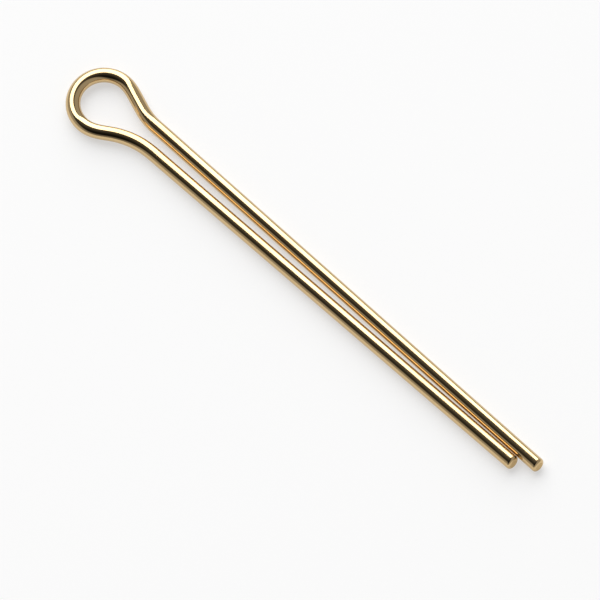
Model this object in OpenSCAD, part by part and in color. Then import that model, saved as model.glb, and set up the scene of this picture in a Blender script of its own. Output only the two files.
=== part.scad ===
// Cotter pin, 1/8 x 2 inch size, bent from one length of round brass wire: an
// open eye, a neck where the wire turns in from the eye on both sides, and two
// legs of unequal length that close up towards their cut ends.
//
// The pin lies flat, the way it rests on a bench. The origin is the centre of
// the eye on that surface, +X runs along the legs and +Z points up. The long
// leg is on the +Y side. Bend radii are measured to the middle of the wire.

/* [Wire] */
// Diameter of the wire
wire_d = 1.5; // [1.2:0.05:1.8]
// Radius of the rounded edge round each cut end
end_edge_r = 0.22; // [0.1:0.01:0.4]

/* [Eye] */
// Inside diameter of the eye
eye_d = 4.7; // [4.2:0.1:6]

/* [Neck] */
// Angle between the legs and the wire that comes from the eye to the long leg
long_flank_angle = 19; // [17:1:30]
// Angle between the legs and the wire that comes from the eye to the short leg
short_flank_angle = 33; // [28:1:36]
// Radius of the bend at the top of the long leg
long_neck_r = 3.8; // [2:0.1:6]
// Radius of the bend at the top of the short leg
short_neck_r = 8.5; // [4:0.1:9]

/* [Legs] */
// Distance from the centre of the eye to the end of the short leg
short_reach = 56.4; // [30:0.1:90]
// How much further the long leg reaches
long_extra = 2.05; // [0.5:0.05:5]
// Angle at which each leg leans in towards the other
lean = 0.45; // [0:0.05:0.7]
// Clear gap between the legs at the end of the short leg
tip_gap = 0.05; // [0.02:0.01:0.5]
// How far the middle line of the two legs lies beside the centre of the eye
leg_offset = 0.58; // [0.3:0.01:0.8]

/* [Hidden] */
$fn = 96;
brass = "#c9a35a";

wire_r = wire_d / 2;
eye_r = eye_d / 2 + wire_r;

// Distance from each leg's line to the eye's centre, measured beside the eye.
half_spread = (wire_r + tip_gap / 2) / cos(lean) + short_reach * tan(lean);
long_leg_y = half_spread + leg_offset;
short_leg_y = half_spread - leg_offset;

// Bends and straights meet face to face. They are joined at a hundredth of
// their size, so that no rounding of a position can part them, and the joined
// wire is scaled back to full size.
join_scale = 1 / 100;

// Where the wire would leave the neck bend if the flank had no length.
function neck_end(flank_angle, neck_r) = [
    eye_r * sin(flank_angle) + neck_r * (sin(flank_angle) - sin(lean)),
    eye_r * cos(flank_angle) + neck_r * (cos(flank_angle) - cos(lean))
];

// Length of straight flank that brings the neck bend down onto the leg's line.
function flank_l(flank_angle, neck_r, leg_y) =
    let (end = neck_end(flank_angle, neck_r))
        ((end.y - leg_y) * cos(lean) + end.x * sin(lean)) / sin(flank_angle - lean);

// Length of leg from the neck bend to the cut end.
function leg_l(flank_angle, neck_r, leg_y, reach) =
    let (flank_x = flank_l(flank_angle, neck_r, leg_y) * cos(flank_angle))
        (reach - neck_end(flank_angle, neck_r).x - flank_x) / cos(lean);

// Moves its children by a full-size distance among pieces drawn at join_scale.
module step(offset) {
    translate(offset * join_scale) children();
}

// Straight wire that runs along +X. Its children start where it ends.
module straight(l) {
    scale(join_scale) rotate([0, 90, 0]) cylinder(h = l, r = wire_r);
    step([l, 0, 0]) children();
}

// Wire bent round +Z at radius r, through an angle that starts at start_angle.
module arc(r, start_angle, angle) {
    scale(join_scale)
        rotate_extrude(start = start_angle, angle = angle)
            translate([r, 0]) circle(r = wire_r);
}

// Wire that starts along +X and bends left. Its children start where it ends.
module bend(r, angle) {
    step([0, r, 0]) {
        arc(r, -90, angle);
        rotate([0, 0, angle]) step([0, -r, 0]) children();
    }
}

// Straight wire that runs along +X to a flat cut end with a rounded edge.
module cut_end(l) {
    scale(join_scale) rotate([0, 90, 0]) rotate_extrude() {
        square([wire_r, l - end_edge_r]);
        square([wire_r - end_edge_r, l]);
        intersection() {
            translate([wire_r - end_edge_r, l - end_edge_r]) circle(r = end_edge_r);
            square([wire_r, l]);
        }
    }
}

// Flank, neck bend and leg on the +Y side of the eye.
module side(flank_angle, neck_r, leg_y, reach) {
    rotate([0, 0, -flank_angle]) step([0, eye_r, 0])
        straight(flank_l(flank_angle, neck_r, leg_y))
            bend(neck_r, flank_angle - lean)
                cut_end(leg_l(flank_angle, neck_r, leg_y, reach));
}

module cotter_pin() {
    color(brass) translate([0, 0, wire_r]) scale(1 / join_scale) {
        arc(eye_r, 90 - long_flank_angle, 180 + long_flank_angle + short_flank_angle);
        side(long_flank_angle, long_neck_r, long_leg_y, short_reach + long_extra);
        mirror([0, 1, 0]) side(short_flank_angle, short_neck_r, short_leg_y, short_reach);
    }
}

cotter_pin();
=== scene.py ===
"""The looks of a brass cotter pin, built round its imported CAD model.

The pin is one length of polished round wire. It is swept here as a fine mesh, in the order
in which the real wire runs: short leg, neck, flank, eye, flank, neck and long leg. Every
length is in metres, in the frame of the CAD model.
"""

from __future__ import annotations

import logging
import math
from collections.abc import Iterable
from dataclasses import dataclass, field
from enum import Enum
from itertools import pairwise
from typing import Any

import bmesh
import bpy
from mathutils import Matrix, Vector

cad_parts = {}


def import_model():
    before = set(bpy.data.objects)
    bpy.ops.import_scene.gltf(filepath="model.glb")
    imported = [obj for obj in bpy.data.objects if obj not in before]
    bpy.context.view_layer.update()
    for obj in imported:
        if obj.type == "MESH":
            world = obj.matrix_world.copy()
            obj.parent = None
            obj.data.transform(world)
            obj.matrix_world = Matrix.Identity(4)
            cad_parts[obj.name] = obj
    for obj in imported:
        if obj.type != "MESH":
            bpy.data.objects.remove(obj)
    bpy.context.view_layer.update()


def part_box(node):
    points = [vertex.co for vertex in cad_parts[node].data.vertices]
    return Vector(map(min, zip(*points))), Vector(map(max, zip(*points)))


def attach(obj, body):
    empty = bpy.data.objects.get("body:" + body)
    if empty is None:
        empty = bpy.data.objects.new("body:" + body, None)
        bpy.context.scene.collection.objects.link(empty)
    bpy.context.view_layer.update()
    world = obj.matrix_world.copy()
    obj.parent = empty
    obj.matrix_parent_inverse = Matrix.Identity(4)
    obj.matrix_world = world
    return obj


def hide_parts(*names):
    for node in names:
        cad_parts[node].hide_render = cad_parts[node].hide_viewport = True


LOG = logging.getLogger("cotter_pin")
MM = 0.001
UP = Vector((0, 0, 1))
# More points than the mesh has, so that no two of its faces share a place.
MOST_POINTS = 100_000


def linear(srgb_hex: str) -> tuple[float, float, float, float]:
    """Turns an sRGB colour into the linear colour that a shader takes.

    Args:
        srgb_hex: The colour as "#rrggbb".

    Returns:
        Linear red, green, blue and an alpha of 1.
    """
    shares = [int(srgb_hex[i : i + 2], 16) / 255 for i in (1, 3, 5)]
    red, green, blue = (
        s / 12.92 if s <= 0.04045 else ((s + 0.055) / 1.055) ** 2.4 for s in shares
    )
    return red, green, blue, 1.0


def add_node(
    tree: bpy.types.NodeTree,
    kind: str,
    settings: dict[str, Any] | None = None,
    inputs: dict[str | int, Any] | None = None,
) -> bpy.types.Node:
    """Adds a node to a tree, with its settings, values and links.

    Args:
        tree: The node tree.
        kind: The node's Blender type, such as "ShaderNodeTexNoise".
        settings: The node's own properties.
        inputs: A value, or an output socket to link from, for each named input.

    Returns:
        The new node.
    """
    node = tree.nodes.new(kind)
    for name, value in (settings or {}).items():
        setattr(node, name, value)
    for name, value in (inputs or {}).items():
        if isinstance(value, bpy.types.NodeSocket):
            tree.links.new(value, node.inputs[name])
        else:
            node.inputs[name].default_value = value
    return node


def new_material(name: str) -> bpy.types.Material:
    """Makes a material with an empty node tree.

    Args:
        name: The material's name, which says what the surface is made of.

    Returns:
        The material.
    """
    material = bpy.data.materials.new(name)
    material.use_nodes = True
    material.node_tree.nodes.clear()
    return material


def in_order(parts: Iterable[Any]) -> list[Any]:
    """Lists parts of a mesh once each, in a fixed order, so that each run is the same."""
    return list(dict.fromkeys(parts))


def place_in_list(part: bmesh.types.BMEdge | bmesh.types.BMFace) -> int:
    """Gives an edge or a face its place among the others, by its lowest points.

    Args:
        part: The edge or face, in a mesh whose points are numbered.

    Returns:
        A number that no other edge, or no other face, has.
    """
    place = 0
    for index in sorted(v.index for v in part.verts)[:3]:
        place = place * MOST_POINTS + index
    return place


class Face(Enum):
    """The two kinds of surface on the pin, by material slot."""

    WIRE = 0
    CUT = 1


def per_mm(along: float, across: float) -> Vector:
    """Gives the scale that draws a pattern on the unbent wire at a real size.

    Args:
        along: Size of the pattern along the wire, in mm.
        across: Its size across the wire, in mm.

    Returns:
        The scale for the along, left and height axes.
    """
    return Vector((1 / along, 1 / across, 1 / across)) / MM


@dataclass(frozen=True)
class PolishedBrass:
    """Yellow brass wire, drawn through a die and barrel polished: a near mirror.

    The die leaves faint lines along the wire, and forming the eye leaves short marks
    across it. Both break the edges of the reflections up a little.

    Attributes:
        colour: Brass with a fresh polish.
        aged_colour: Brass that handling has darkened a little.
        roughness: Roughness of the fresh polish.
        worn_roughness: Roughness where the polish is dullest.
        wear_start: Value of the patches' noise at which the polish starts to dull.
        wear_full: Its value where the polish is dullest.
        line_depth: Depth of the die lines.
        line_strength: How strongly the die lines show.
        mark_depth: Depth of the forming tool's marks.
        mark_strength: How strongly those marks show.
    """

    colour: str = "#d8bd90"
    aged_colour: str = "#cbad7c"
    roughness: float = 0.035
    worn_roughness: float = 0.08
    wear_start: float = 0.4
    wear_full: float = 0.75
    line_depth: float = 0.002 * MM
    line_strength: float = 0.5
    mark_depth: float = 0.003 * MM
    mark_strength: float = 0.3

    def material(self) -> bpy.types.Material:
        """Builds the material of the drawn surface.

        Returns:
            The material.
        """
        material = new_material("polished_drawn_brass")
        tree = material.node_tree
        place = add_node(tree, "ShaderNodeAttribute", {"attribute_name": "unbent"})
        formed = add_node(tree, "ShaderNodeAttribute", {"attribute_name": "formed"})
        # Die lines run on for about 9 mm and are some 0.01 mm wide. They are drawn
        # 0.07 mm wide, so that they show.
        lines = self.along_wire(tree, place, per_mm(9, 0.07), detail=2)
        # The forming tool's marks lie across the wire: 1.2 mm long, 0.15 mm apart.
        marks = self.along_wire(tree, place, per_mm(0.15, 1.2), detail=2)
        # Handling leaves soft patches, 4 mm by 1.5 mm, where the polish is duller.
        patches = self.along_wire(tree, place, per_mm(4, 1.5), detail=4)
        tint = add_node(
            tree,
            "ShaderNodeMix",
            {"data_type": "RGBA"},
            # A Mix node's colours come after its numbers and vectors.
            {0: patches, 6: linear(self.colour), 7: linear(self.aged_colour)},
        )
        dullness = add_node(
            tree,
            "ShaderNodeMapRange",
            inputs={
                "Value": patches,
                "From Min": self.wear_start,
                "From Max": self.wear_full,
                "To Min": self.roughness,
                "To Max": self.worn_roughness,
            },
        )
        masked = add_node(
            tree,
            "ShaderNodeMath",
            {"operation": "MULTIPLY"},
            {0: marks, 1: formed.outputs["Fac"]},
        )
        drawn = add_node(
            tree,
            "ShaderNodeBump",
            inputs={
                "Strength": self.line_strength,
                "Distance": self.line_depth,
                "Height": lines,
            },
        )
        formed_over = add_node(
            tree,
            "ShaderNodeBump",
            inputs={
                "Strength": self.mark_strength,
                "Distance": self.mark_depth,
                "Height": masked.outputs[0],
                "Normal": drawn.outputs["Normal"],
            },
        )
        shader = add_node(
            tree,
            "ShaderNodeBsdfPrincipled",
            inputs={
                "Base Color": tint.outputs[2],
                "Metallic": 1.0,
                "Roughness": dullness.outputs["Result"],
                "Normal": formed_over.outputs["Normal"],
            },
        )
        add_node(
            tree, "ShaderNodeOutputMaterial", inputs={"Surface": shader.outputs[0]}
        )
        return material

    def along_wire(
        self,
        tree: bpy.types.NodeTree,
        place: bpy.types.Node,
        scale: Vector,
        detail: float,
    ) -> bpy.types.NodeSocket:
        """Draws a mottled pattern that follows the wire round its bends.

        Args:
            tree: The material's node tree.
            place: The node that gives a point's place on the unbent wire.
            scale: The pattern's scale, from per_mm.
            detail: How many finer layers the noise has.

        Returns:
            The noise's value.
        """
        spread = add_node(
            tree,
            "ShaderNodeMapping",
            inputs={"Vector": place.outputs["Vector"], "Scale": scale},
        )
        noise = add_node(
            tree,
            "ShaderNodeTexNoise",
            inputs={
                "Vector": spread.outputs["Vector"],
                "Scale": 1.0,
                "Detail": detail,
            },
        )
        return noise.outputs["Fac"]


@dataclass(frozen=True)
class ShearedBrass:
    """The same brass where a blade cut the wire: a duller face with a fine grain.

    Attributes:
        colour: Brass that has been cut and not polished.
        roughness: Roughness of the cut face.
        grain: Width of one grain of the torn metal.
        grain_layers: How many finer layers the grain has.
        grain_depth: Depth of the grain.
        grain_strength: How strongly the grain shows.
    """

    colour: str = "#cbac74"
    roughness: float = 0.38
    grain: float = 0.06 * MM
    grain_layers: float = 3.0
    grain_depth: float = 0.006 * MM
    grain_strength: float = 0.5

    def material(self) -> bpy.types.Material:
        """Builds the material of the cut faces.

        Returns:
            The material.
        """
        material = new_material("sheared_brass")
        tree = material.node_tree
        place = add_node(tree, "ShaderNodeTexCoord")
        # The torn grain takes the mirror off the face.
        grain = add_node(
            tree,
            "ShaderNodeTexNoise",
            inputs={
                "Vector": place.outputs["Object"],
                "Scale": 1 / self.grain,
                "Detail": self.grain_layers,
            },
        )
        torn = add_node(
            tree,
            "ShaderNodeBump",
            inputs={
                "Strength": self.grain_strength,
                "Distance": self.grain_depth,
                "Height": grain.outputs["Fac"],
            },
        )
        shader = add_node(
            tree,
            "ShaderNodeBsdfPrincipled",
            inputs={
                "Base Color": linear(self.colour),
                "Metallic": 1.0,
                "Roughness": self.roughness,
                "Normal": torn.outputs["Normal"],
            },
        )
        add_node(
            tree, "ShaderNodeOutputMaterial", inputs={"Surface": shader.outputs[0]}
        )
        return material


@dataclass(frozen=True)
class Stretch:
    """One stretch of the wire's middle line: straight, or bent at one radius.

    Attributes:
        start: Where the stretch starts.
        heading: The direction of the wire there.
        length: Length along the middle line.
        radius: Bend radius, or 0 on a straight.
        turn: 1 for a bend to the left, -1 for one to the right.
        before: Length of wire before this stretch.
    """

    start: Vector
    heading: Vector
    length: float
    radius: float = 0.0
    turn: int = 1
    before: float = 0.0

    @property
    def left(self) -> Vector:
        """The direction to the left of the heading."""
        return UP.cross(self.heading)

    @property
    def centre(self) -> Vector:
        """The middle of the bend."""
        return self.start + self.left * self.radius * self.turn

    @property
    def angle(self) -> float:
        """The signed angle of the bend."""
        return self.turn * self.length / self.radius if self.radius else 0.0

    @property
    def end(self) -> Vector:
        """Where the stretch ends.

        Returns:
            The point.
        """
        if not self.radius:
            return self.start + self.heading * self.length
        turned = Matrix.Rotation(self.angle, 3, UP)
        return self.centre + turned @ (self.start - self.centre)

    @property
    def end_heading(self) -> Vector:
        """The direction of the wire at the end."""
        return Matrix.Rotation(self.angle, 3, UP) @ self.heading

    def unbent(self, point: Vector) -> Vector:
        """Gives a point's place on the wire as it was before it was bent.

        Args:
            point: A point on or near this stretch.

        Returns:
            Length along the wire, offset to the left and height over the middle line.
        """
        if not self.radius:
            offset = point - self.start
            return Vector(
                (self.before + offset.dot(self.heading), offset.dot(self.left), offset.z)
            )
        spoke = point - self.centre
        first = (self.start - self.centre).normalized()
        along = self.turn * math.atan2(first.cross(spoke).z, first.dot(spoke))
        flat = math.hypot(spoke.x, spoke.y)
        return Vector(
            (
                self.before + along * self.radius,
                self.turn * (self.radius - flat),
                spoke.z,
            )
        )


@dataclass
class PinWire:
    """The cotter pin: one polished wire, with a rounded, sheared end on each leg.

    The wire's thickness, the eye and the reach of the legs come from the CAD node's box.
    The bends that a box can't give are the CAD model's own driving sizes. The cut ends
    are shaped in more detail than the CAD model's, which are square.

    Attributes:
        node: The CAD node that the wire stands for.
        long_flank_angle: Angle between the long leg's flank and the legs.
        short_flank_angle: Angle between the short leg's flank and the legs.
        long_neck_radius: Bend radius where the long leg's flank meets the leg.
        short_neck_radius: Bend radius where the short leg's flank meets the leg.
        long_extra: How much further the long leg reaches.
        lean: Angle by which each leg leans towards the other.
        tip_gap: Gap between the legs at the short leg's end.
        leg_offset: How far the pair of legs is shifted to the long leg's side.
        end_edge_radius: Rounding of the rim of each cut face.
        cut_lean: Angle by which the cut faces lean back towards their tops.
        face_border: Width of the smooth border round the shear lines.
        shear_gap: Distance between shear lines.
        shear_depth: Depth of the shear lines.
        clearance: How far the wire stays inside the CAD model's skin.
        end_support: Distance from each end to the ring behind it.
        sides: Number of sides of the wire's round section.
        end_edge_steps: Number of steps in the rounding of a rim.
        ring_gap: Distance between rings where the wire is bent.
        leg_ring_gap: Distance between rings on the straight legs.
        easing: Half the length over which a change of bend is spread.
        easing_steps: Number of points averaged to each side, which has to be even.
        snap_share: Share of the radius within which a cut keeps to a point.
        merge_share: Share of the radius within which points are one.
        wire_radius: Radius of the wire.
        axis_height: Height of the wire's middle line.
        eye_radius: Radius of the eye's middle line.
        long_reach: Distance from the eye's centre to the long leg's end.
        route: The stretches of the wire's middle line, in order.
    """

    node: str = "cotter_pin"
    long_flank_angle: float = math.radians(19)
    short_flank_angle: float = math.radians(33)
    long_neck_radius: float = 3.8 * MM
    short_neck_radius: float = 8.5 * MM
    long_extra: float = 2.05 * MM
    lean: float = math.radians(0.45)
    tip_gap: float = 0.05 * MM
    leg_offset: float = 0.58 * MM
    end_edge_radius: float = 0.27 * MM
    cut_lean: float = math.radians(10)
    face_border: float = 0.05 * MM
    shear_gap: float = 0.07 * MM
    shear_depth: float = 0.01 * MM
    clearance: float = 0.002 * MM
    end_support: float = 0.6 * MM
    sides: int = 96
    end_edge_steps: int = 8
    ring_gap: float = 0.25 * MM
    leg_ring_gap: float = 1.0 * MM
    easing: float = 2.4 * MM
    easing_steps: int = 24
    snap_share: float = 1e-3
    merge_share: float = 1e-4
    wire_radius: float = field(init=False)
    axis_height: float = field(init=False)
    eye_radius: float = field(init=False)
    long_reach: float = field(init=False)
    route: list[Stretch] = field(init=False, default_factory=list)

    def __post_init__(self) -> None:
        """Reads the sizes that the CAD node's box gives, and lays out the route."""
        low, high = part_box(self.node)
        half_height = (high.z - low.z) / 2
        self.wire_radius = half_height - self.clearance
        self.eye_radius = -low.x - half_height
        self.axis_height = low.z + half_height
        # The leaning leg reaches furthest at the rim of its cut face.
        rim = self.wire_radius - self.end_edge_radius
        self.long_reach = high.x - rim * math.sin(self.lean) - self.clearance
        self.lay_route()

    def side_lengths(
        self, flank_angle: float, neck_radius: float, offset: float, reach: float
    ) -> tuple[float, float]:
        """Works out the straights of one side of the pin.

        Args:
            flank_angle: Angle between the flank and the legs.
            neck_radius: Radius of the neck bend.
            offset: How far the pair of legs is shifted towards this side.
            reach: Distance from the eye's centre to the cut end.

        Returns:
            Length of the flank and of the leg.
        """
        short_reach = self.long_reach - self.long_extra
        half_spread = (self.wire_radius + self.tip_gap / 2) / math.cos(self.lean)
        leg_y = half_spread + short_reach * math.tan(self.lean) + offset
        sin_f, cos_f = math.sin(flank_angle), math.cos(flank_angle)
        sin_l, cos_l = math.sin(self.lean), math.cos(self.lean)
        end_x = self.eye_radius * sin_f + neck_radius * (sin_f - sin_l)
        end_y = self.eye_radius * cos_f + neck_radius * (cos_f - cos_l)
        drop = (end_y - leg_y) * cos_l + end_x * sin_l
        flank = drop / math.sin(flank_angle - self.lean)
        leg = (reach - end_x - flank * cos_f) / cos_l
        return flank, leg

    def lay_route(self) -> None:
        """Lays the wire's middle line out, from the short leg's end to the long leg's."""
        short_flank, short_leg = self.side_lengths(
            self.short_flank_angle,
            self.short_neck_radius,
            -self.leg_offset,
            self.long_reach - self.long_extra,
        )
        long_flank, long_leg = self.side_lengths(
            self.long_flank_angle,
            self.long_neck_radius,
            self.leg_offset,
            self.long_reach,
        )
        eye_turn = math.pi + self.short_flank_angle + self.long_flank_angle
        lengths = [
            (short_leg, 0.0, 1),
            (
                (self.short_flank_angle - self.lean) * self.short_neck_radius,
                self.short_neck_radius,
                1,
            ),
            (short_flank, 0.0, 1),
            (eye_turn * self.eye_radius, self.eye_radius, -1),
            (long_flank, 0.0, 1),
            (
                (self.long_flank_angle - self.lean) * self.long_neck_radius,
                self.long_neck_radius,
                1,
            ),
            (long_leg, 0.0, 1),
        ]
        # The short leg's line, seen from its cut end, heads back towards the eye.
        heading = Vector((-math.cos(self.lean), -math.sin(self.lean), 0))
        start = Vector((0, 0, 0))
        before = 0.0
        for length, radius, turn in lengths:
            stretch = Stretch(start, heading, length, radius, turn, before)
            self.route.append(stretch)
            start, heading = stretch.end, stretch.end_heading
            before += length
        # The route is slid so that the eye's centre is the frame's origin.
        shift = Vector((0, 0, self.axis_height)) - self.route[3].centre
        self.route = [
            Stretch(s.start + shift, s.heading, s.length, s.radius, s.turn, s.before)
            for s in self.route
        ]

    def on_route(self, along: float) -> Vector:
        """Gives a point of the middle line, which runs on straight past both its ends.

        Args:
            along: Length of wire before the point.

        Returns:
            The point.
        """
        stretch = self.route[0]
        for later in self.route[1:]:
            if along >= later.before:
                stretch = later
        offset = along - stretch.before
        if not stretch.radius:
            return stretch.start + stretch.heading * offset
        turned = Matrix.Rotation(stretch.turn * offset / stretch.radius, 3, UP)
        return stretch.centre + turned @ (stretch.start - stretch.centre)

    def eased(self, along: float) -> Vector:
        """Gives a point of the middle line, with its bends run smoothly together.

        Wire doesn't change from straight to bent at one point. The line is averaged over
        a short window twice, and what the second average moves is put back on the first,
        so that the straights and the eye stay where the CAD model has them.

        Args:
            along: Length of wire before the point.

        Returns:
            The point.
        """
        half = self.easing_steps // 2
        once, twice = Vector(), Vector()
        once_weight = twice_weight = 0.0
        for step in range(-self.easing_steps, self.easing_steps + 1):
            point = self.on_route(along + self.easing * step / self.easing_steps)
            flat = 1.0 if abs(step) < half else 0.5 if abs(step) == half else 0.0
            peaked = 1 - abs(step) / self.easing_steps
            once += point * flat
            twice += point * peaked
            once_weight += flat
            twice_weight += peaked
        return once * (2 / once_weight) - twice / twice_weight

    def stations(self) -> list[float]:
        """Lists where the rings lie: close together where the wire is bent.

        Returns:
            The length of wire before each ring.
        """
        first, last = self.route[0], self.route[-1]
        total = last.before + last.length
        # Each mark is where a run ends and the gap between rings in that run. A ring
        # close behind each end keeps the leg's sides straight up to the rim.
        marks = (
            (0.0, 0.0),
            (self.end_support, math.inf),
            (first.length - self.easing, self.leg_ring_gap),
            (last.before + self.easing, self.ring_gap),
            (total - self.end_support, self.leg_ring_gap),
            (total, math.inf),
        )
        places = [0.0]
        for (low, _), (high, gap) in pairwise(marks):
            steps = max(1, round((high - low) / gap))
            places.extend(low + (high - low) * (i + 1) / steps for i in range(steps))
        return places

    def section(self, along: float) -> Matrix:
        """Gives the place and turn of the wire's round section.

        Args:
            along: Length of wire before the section.

        Returns:
            The matrix from a section on the floor plan to this one.
        """
        reach = self.ring_gap / 2
        heading = self.eased(along + reach) - self.eased(along - reach)
        heading.normalize()
        axes = Matrix((UP.cross(heading), UP, heading)).transposed()
        return Matrix.Translation(self.eased(along)) @ axes.to_4x4()

    def sweep(self, mesh: bmesh.types.BMesh) -> None:
        """Sweeps the wire's round section along the eased middle line.

        Args:
            mesh: The mesh to make the wire in.
        """
        stations = self.stations()
        section = self.section(stations[0])
        circle = bmesh.ops.create_circle(
            mesh, segments=self.sides, radius=self.wire_radius, matrix=section
        )
        start = in_order(e for v in circle["verts"] for e in v.link_edges)
        ring = start
        for along in stations[1:]:
            made = bmesh.ops.extrude_edge_only(mesh, edges=ring)["geom"]
            ring = [g for g in made if isinstance(g, bmesh.types.BMEdge)]
            later = self.section(along)
            bmesh.ops.transform(
                mesh,
                matrix=later @ section.inverted(),
                verts=[g for g in made if isinstance(g, bmesh.types.BMVert)],
            )
            section = later
        self.cap(mesh, start, -self.route[0].heading)
        self.cap(mesh, ring, self.route[-1].end_heading)
        # The bevel turns outwards where a cut face and the sides face different ways.
        bmesh.ops.recalc_face_normals(mesh, faces=mesh.faces)

    def cap(
        self, mesh: bmesh.types.BMesh, rim: list[bmesh.types.BMEdge], outward: Vector
    ) -> None:
        """Closes one end of the wire with a cut face that leans back towards its top.

        Args:
            mesh: The mesh that the wire is made in.
            rim: The edges round the end.
            outward: The direction in which the leg runs out of its end.
        """
        lean = Matrix.Identity(4)
        for row in range(3):
            lean[row][2] -= math.tan(self.cut_lean) * outward[row]
        verts = in_order(v for e in rim for v in e.verts)
        bmesh.ops.transform(mesh, matrix=lean, verts=verts)
        for face in bmesh.ops.contextual_create(mesh, geom=rim)["faces"]:
            face.material_index = Face.CUT.value

    def round_ends(self, mesh: bmesh.types.BMesh) -> None:
        """Rounds the rim of each cut face, as tumbling leaves it.

        Args:
            mesh: The mesh that the wire is made in.
        """
        rims = in_order(
            e
            for f in mesh.faces
            if f.material_index == Face.CUT.value
            for e in f.edges
        )
        bmesh.ops.bevel(
            mesh,
            geom=rims,
            offset=self.end_edge_radius,
            offset_type="OFFSET",
            segments=self.end_edge_steps,
            profile=0.5,
            affect="EDGES",
            material=-1,
            clamp_overlap=True,
        )
        # Tumbling polishes the rounded rim as bright as the wire, and misses the face.
        for face in mesh.faces:
            is_cut = len(face.verts) >= self.sides
            face.material_index = (Face.CUT if is_cut else Face.WIRE).value

    def score_ends(self, mesh: bmesh.types.BMesh) -> None:
        """Ripples both cut faces with shallow shear lines, as the blade leaves them.

        Args:
            mesh: The mesh that the wire is made in.
        """
        for face in [f for f in mesh.faces if f.material_index == Face.CUT.value]:
            bmesh.ops.inset_region(
                mesh, faces=[face], thickness=self.face_border, use_even_offset=True
            )
            middle = face.calc_center_median()
            outward = face.normal.copy()
            across = outward.cross(UP).normalized()
            count = int((self.wire_radius - self.end_edge_radius) / self.shear_gap)
            pieces = [face]
            for line in range(-count, count + 1):
                edges = in_order(e for f in pieces for e in f.edges)
                verts = in_order(v for f in pieces for v in f.verts)
                cut = bmesh.ops.bisect_plane(
                    mesh,
                    geom=pieces + edges + verts,
                    dist=self.wire_radius * self.snap_share,
                    plane_co=middle + across * line * self.shear_gap,
                    plane_no=across,
                )
                pieces = [g for g in cut["geom"] if isinstance(g, bmesh.types.BMFace)]
                # Every other line is a groove, and the one between it a ridge.
                if line % 2:
                    groove = [
                        g for g in cut["geom_cut"] if isinstance(g, bmesh.types.BMVert)
                    ]
                    bmesh.ops.translate(
                        mesh, vec=-outward * self.shear_depth, verts=groove
                    )

    def mark(self, data: bpy.types.Mesh) -> None:
        """Stores where each point was on the wire before it was bent.

        The finishes follow the wire by this place, and "formed" is 1 where the wire went
        through the forming tool: the eye, the flanks and the necks.

        Args:
            data: The wire's finished mesh.
        """
        places: list[float] = []
        formed: list[float] = []
        legs = (self.route[0], self.route[-1])
        for vertex in data.vertices:
            best, unbent, miss = self.route[0], Vector(), math.inf
            for stretch in self.route:
                place = stretch.unbent(vertex.co)
                along = place.x - stretch.before
                over = max(-along, along - stretch.length, 0.0)
                height = vertex.co.z - self.axis_height
                distance = over + math.hypot(place.y, height)
                if distance < miss:
                    best, miss = stretch, distance
                    unbent = Vector((place.x, place.y, height))
            places.extend(unbent)
            formed.append(0.0 if best in legs else 1.0)
        layer = data.attributes.new("unbent", "FLOAT_VECTOR", "POINT")
        layer.data.foreach_set("vector", places)
        data.attributes.new("formed", "FLOAT", "POINT").data.foreach_set("value", formed)

    def build(self) -> bpy.types.Object:
        """Builds the wire's mesh.

        Returns:
            The pin's object, with its place in its mesh.
        """
        mesh = bmesh.new()
        self.sweep(mesh)
        self.round_ends(mesh)
        self.score_ends(mesh)
        bmesh.ops.remove_doubles(
            mesh, verts=mesh.verts, dist=self.wire_radius * self.merge_share
        )
        bmesh.ops.recalc_face_normals(mesh, faces=mesh.faces)
        # The operators give edges and faces in no fixed order, so they are put in one.
        mesh.verts.index_update()
        mesh.edges.sort(key=place_in_list)
        mesh.faces.sort(key=place_in_list)
        data = bpy.data.meshes.new("brass_wire")
        mesh.to_mesh(data)
        mesh.free()
        data.shade_smooth()
        self.mark(data)
        piece = bpy.data.objects.new("cotter_pin_wire", data)
        bpy.context.scene.collection.objects.link(piece)
        return piece

    def dress(self, piece: bpy.types.Object) -> None:
        """Gives the pin its two finishes, by the order of Face."""
        piece.data.materials.append(PolishedBrass().material())
        piece.data.materials.append(ShearedBrass().material())


@dataclass
class Softbox:
    """The one lamp: a large oval softbox that stands beyond the pin and faces it.

    Its place is given in the camera's terms, in metres from the pin.

    Attributes:
        right: How far it stands to the right.
        beyond: How far it stands beyond the pin.
        up: How high it hangs.
        width: Its width.
        height: Its height.
        turn: Angle by which it is turned about the line to the pin.
        radiance: Its brightness, where 1 would show as white.
    """

    right: float = -0.4
    beyond: float = 1.78
    up: float = 1.56
    width: float = 2.4
    height: float = 4.85
    turn: float = math.radians(-52)
    radiance: float = 3.3

    def offset(self, away: Vector) -> Vector:
        """Gives the way from the pin to the lamp, where away leads off the camera."""
        return away.cross(UP) * self.right + away * self.beyond + UP * self.up

    def build(self, target: Vector, away: Vector) -> bpy.types.Object:
        """Makes the lamp and hangs it in place.

        Args:
            target: The point that the softbox faces.
            away: The level direction away from the camera.

        Returns:
            The lamp's object.
        """
        offset = self.offset(away)
        side = UP.cross(offset).normalized()
        rise = offset.cross(side).normalized()
        across = side * math.cos(self.turn) + rise * math.sin(self.turn)
        facing = offset.normalized()
        lamp = bpy.data.lights.new("softbox", "AREA")
        lamp.shape = "ELLIPSE"
        lamp.size, lamp.size_y = self.width, self.height
        area = math.pi / 4 * self.width * self.height
        lamp.energy = self.radiance * math.pi * area
        rig = bpy.data.objects.new("softbox", lamp)
        axes = Matrix((across, facing.cross(across), facing)).transposed()
        rig.matrix_world = Matrix.Translation(target + offset) @ axes.to_4x4()
        rig.visible_camera = False
        bpy.context.scene.collection.objects.link(rig)
        return rig


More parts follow.
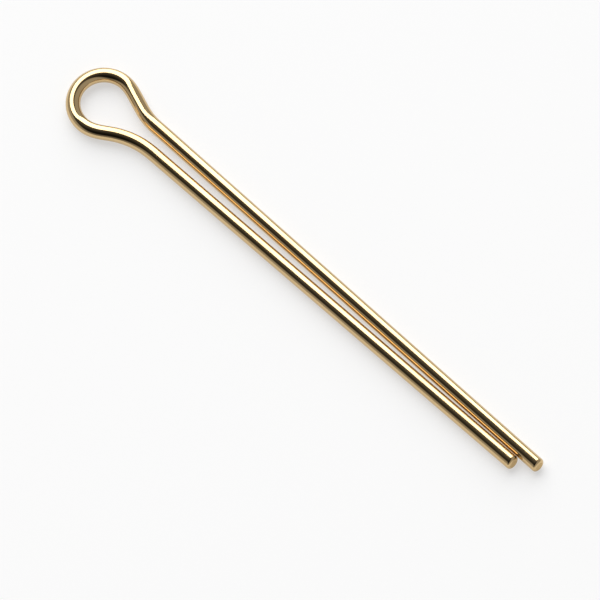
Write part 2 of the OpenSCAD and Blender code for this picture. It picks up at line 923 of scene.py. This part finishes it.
@dataclass
class Studio:
    """The camera, the pale floor and the light that the pin is shown in.

    Attributes:
        azimuth: The camera's direction round the pin.
        elevation: The camera's angle over the floor.
        lens_mm: Focal length, long enough to show almost no perspective.
        frame_width: Width of what the camera sees.
        aim: The point that the camera looks at.
        clip_near: Nearest distance shown, as a share of the camera's distance.
        clip_far: Furthest distance shown, as a share of the camera's distance.
        floor_size: Length of each side of the floor.
        floor_colour: The floor's colour in the lamp's light.
        floor_lift: What is added to the floor for the camera and the brass.
        softbox: The lamp.
        canopy_right: How far the canopy's middle lies to the right, on the plan.
        canopy_beyond: How far it lies beyond the pin, on the plan.
        canopy_width: Half the canopy's width, on the plan.
        canopy_depth: Half its depth, on the plan.
        edge_start: Share of the canopy's half width at which it starts to pale.
        edge_end: Share of its half width at which the walls have taken over.
        canopy_dark: Brightness of the canopy.
        canopy_spill: What the softbox adds to the canopy close to it.
        spill_start: Cosine of the angle from the softbox at which the spill starts.
        spill_fade: How fast the spill fades with distance from the softbox.
        wall_pale: Brightness of the walls.
    """

    azimuth: float = math.radians(43.3)
    elevation: float = math.radians(68)
    lens_mm: float = 1000.0
    frame_width: float = 59.76 * MM
    aim: Vector = field(default_factory=lambda: Vector((28.82, -1.975, 0.75)) * MM)
    clip_near: float = 0.1
    clip_far: float = 100.0
    floor_size: float = 10.0
    floor_colour: str = "#b6b6b6"
    floor_lift: float = 0.53
    softbox: Softbox = field(default_factory=Softbox)
    canopy_right: float = -0.19
    canopy_beyond: float = -0.04
    canopy_width: float = 0.65
    canopy_depth: float = 0.94
    edge_start: float = 0.8
    edge_end: float = 1.1
    canopy_dark: float = 0.008
    canopy_spill: float = 0.2
    spill_start: float = -0.2
    spill_fade: float = 3.0
    wall_pale: float = 0.45

    @property
    def to_camera(self) -> Vector:
        """The direction from the pin to the camera."""
        flat = Vector((math.sin(self.azimuth), -math.cos(self.azimuth), 0))
        return flat * math.cos(self.elevation) + UP * math.sin(self.elevation)

    @property
    def beyond(self) -> Vector:
        """The level direction away from the camera."""
        return Vector((-math.sin(self.azimuth), math.cos(self.azimuth), 0))

    def build_camera(self) -> None:
        """Sets up a long lens over the pin, so that it shows almost no perspective."""
        data = bpy.data.cameras.new("camera")
        data.lens = self.lens_mm
        distance = self.frame_width * self.lens_mm / data.sensor_width
        camera = bpy.data.objects.new("camera", data)
        camera.location = self.aim + self.to_camera * distance
        camera.rotation_euler = (-self.to_camera).to_track_quat("-Z", "Y").to_euler()
        data.clip_start = distance * self.clip_near
        data.clip_end = distance * self.clip_far
        bpy.context.scene.collection.objects.link(camera)
        bpy.context.scene.camera = camera

    def build_floor(self) -> None:
        """Lays the plain sheet that the pin rests on: grey, and seen as nearly white."""
        mesh = bmesh.new()
        bmesh.ops.create_grid(mesh, x_segments=1, y_segments=1, size=self.floor_size / 2)
        data = bpy.data.meshes.new("floor")
        mesh.to_mesh(data)
        mesh.free()
        material = new_material("white_sheet")
        tree = material.node_tree
        sheet = add_node(
            tree,
            "ShaderNodeBsdfDiffuse",
            inputs={"Color": linear(self.floor_colour)},
        )
        # The camera and the brass see the sheet paler than the lamp makes it, which also
        # keeps the pin's shadow light.
        ray = add_node(tree, "ShaderNodeLightPath")
        seen = add_node(
            tree,
            "ShaderNodeMath",
            {"operation": "MAXIMUM"},
            {0: ray.outputs["Is Camera Ray"], 1: ray.outputs["Is Glossy Ray"]},
        )
        seen_through = add_node(
            tree,
            "ShaderNodeMath",
            {"operation": "MAXIMUM"},
            {0: seen.outputs[0], 1: ray.outputs["Is Transmission Ray"]},
        )
        lift = add_node(
            tree,
            "ShaderNodeMath",
            {"operation": "MULTIPLY"},
            {0: seen_through.outputs[0], 1: self.floor_lift},
        )
        glow = add_node(
            tree,
            "ShaderNodeEmission",
            inputs={"Color": linear("#ffffff"), "Strength": lift.outputs[0]},
        )
        both = add_node(
            tree,
            "ShaderNodeAddShader",
            inputs={0: sheet.outputs[0], 1: glow.outputs[0]},
        )
        add_node(tree, "ShaderNodeOutputMaterial", inputs={"Surface": both.outputs[0]})
        data.materials.append(material)
        floor = bpy.data.objects.new("floor", data)
        bpy.context.scene.collection.objects.link(floor)

    def build_lights(self) -> None:
        """Stands the softbox beyond the pin."""
        self.softbox.build(self.aim, self.beyond)

    def build_room(self) -> None:
        """Makes the room: pale walls below, and a black canopy over the table.

        The canopy sits a little to the left. Seen from the pin it is an oval, measured on
        the floor plan of all the directions overhead.
        """
        world = bpy.data.worlds.new("room")
        bpy.context.scene.world = world
        world.use_nodes = True
        tree = world.node_tree
        tree.nodes.clear()
        middle = (
            self.beyond.cross(UP) * self.canopy_right + self.beyond * self.canopy_beyond
        )
        # Height is scaled down until it counts for nothing, which leaves the plan.
        flat = 1000.0
        place = add_node(tree, "ShaderNodeTexCoord")
        plan = add_node(
            tree,
            "ShaderNodeMapping",
            {"vector_type": "TEXTURE"},
            {
                "Vector": place.outputs["Generated"],
                "Location": middle,
                "Rotation": Vector((0, 0, self.azimuth)),
                "Scale": Vector((self.canopy_width, self.canopy_depth, flat)),
            },
        )
        reach = add_node(
            tree,
            "ShaderNodeVectorMath",
            {"operation": "LENGTH"},
            {0: plan.outputs["Vector"]},
        )
        # The softbox spills light on the canopy round it, which fades with distance.
        towards = self.softbox.offset(self.beyond).normalized()
        nearness = add_node(
            tree,
            "ShaderNodeVectorMath",
            {"operation": "DOT_PRODUCT"},
            {0: place.outputs["Generated"], 1: towards},
        )
        share = add_node(
            tree,
            "ShaderNodeMapRange",
            inputs={"Value": nearness.outputs["Value"], "From Min": self.spill_start},
        )
        fade = add_node(
            tree,
            "ShaderNodeMath",
            {"operation": "POWER"},
            {0: share.outputs["Result"], 1: self.spill_fade},
        )
        canopy = add_node(
            tree,
            "ShaderNodeMath",
            {"operation": "MULTIPLY_ADD"},
            {0: fade.outputs[0], 1: self.canopy_spill, 2: self.canopy_dark},
        )
        light = add_node(
            tree,
            "ShaderNodeMapRange",
            {"interpolation_type": "SMOOTHSTEP"},
            {
                "Value": reach.outputs["Value"],
                "From Min": self.edge_start,
                "From Max": self.edge_end,
                "To Min": canopy.outputs[0],
                "To Max": self.wall_pale,
            },
        )
        shader = add_node(
            tree,
            "ShaderNodeBackground",
            inputs={"Color": linear("#ffffff"), "Strength": light.outputs["Result"]},
        )
        add_node(tree, "ShaderNodeOutputWorld", inputs={"Surface": shader.outputs[0]})


def main() -> None:
    """Builds the studio and the pin round the frame."""
    logging.basicConfig(level=logging.INFO, format="%(name)s: %(message)s")
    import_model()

    studio = Studio()
    bpy.context.scene.view_settings.view_transform = "Standard"
    studio.build_camera()
    studio.build_floor()
    studio.build_lights()
    studio.build_room()

    wire = PinWire()
    piece = wire.build()
    wire.dress(piece)
    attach(piece, "root")
    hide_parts(wire.node)
    mesh = piece.data
    points, faces = len(mesh.vertices), len(mesh.polygons)
    LOG.info("%s: %d points, %d faces", piece.name, points, faces)


if __name__ == "__main__":
    main()
